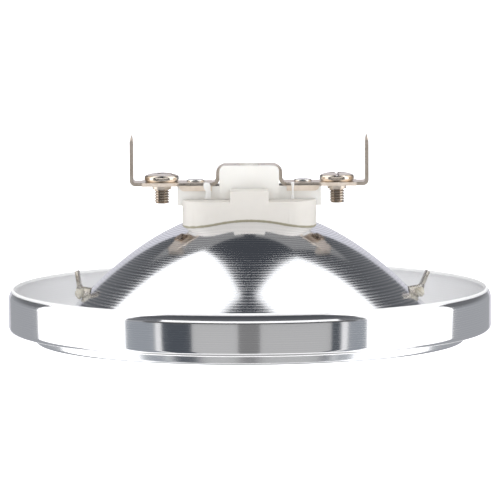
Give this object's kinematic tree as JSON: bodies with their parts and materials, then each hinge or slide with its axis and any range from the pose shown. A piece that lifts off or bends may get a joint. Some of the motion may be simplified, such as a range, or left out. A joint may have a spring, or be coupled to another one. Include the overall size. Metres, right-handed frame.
{
  "type": "reflector lamp",
  "caption": "Shallow round halogen reflector lamp with a rolled rim band and a ceramic base carrying screw terminals and push-on blades.",
  "frame": {"origin": "centre of the front lip's plane, on which the lamp rests face down", "axes": "+Z along the optical axis, from the open face towards the base; the terminals lie along X"},
  "size_m": [0.111, 0.111, 0.0473],
  "materials": {
    "spun_aluminium": "polished, with fine spinning lines round it",
    "rim_aluminium": "bright satin",
    "cap_aluminium": "satin, pressed",
    "spring_steel": "bright rolled strip",
    "white_ceramic": "unglazed white steatite ceramic, slight sheen",
    "cream_ceramic": "unglazed cream steatite ceramic, slight sheen",
    "cement": "white ceramic cement",
    "nickel_strip": "nickel-plated brass strip, warm",
    "nickel_rivet": "nickel plated",
    "plated_screw": "nickel plated, warm",
    "arm_steel": "bright strip, slightly tarnished",
    "quartz": "clear quartz",
    "tungsten": "drawn wire, dark",
    "molybdenum": "drawn wire and etched foil"
  },
  "bodies": {
    "lamp": {"reflector_dish": "spun_aluminium", "rim_band": "rim_aluminium", "neck_retainer": "spring_steel", "socket_body": "cream_ceramic", "terminal_block": "white_ceramic", "capsule_cement": "cement", "left_terminal": "nickel_strip", "right_terminal": "nickel_strip", "left_rivet": "nickel_rivet", "right_rivet": "nickel_rivet", "left_cement_dab": "cement", "right_cement_dab": "cement", "capsule_bulb": "quartz", "filament": "tungsten", "left_lead": "molybdenum", "right_lead": "molybdenum", "left_foil": "molybdenum", "right_foil": "molybdenum", "left_pin": "molybdenum", "right_pin": "molybdenum", "glare_cap": "cap_aluminium", "left_cap_arm": "arm_steel", "right_cap_arm": "arm_steel"},
    "screw_left": {"left_screw": "plated_screw"},
    "screw_right": {"right_screw": "plated_screw"}
  },
  "joints": [
    {"name": "left_screw_travel", "type": "slide", "parent": "lamp", "child": "screw_left", "axis": [0, 0, 1], "range_m": [0, 0.003]},
    {"name": "right_screw_travel", "type": "slide", "parent": "lamp", "child": "screw_right", "axis": [0, 0, 1], "range_m": [0, 0.003]}
  ]
}
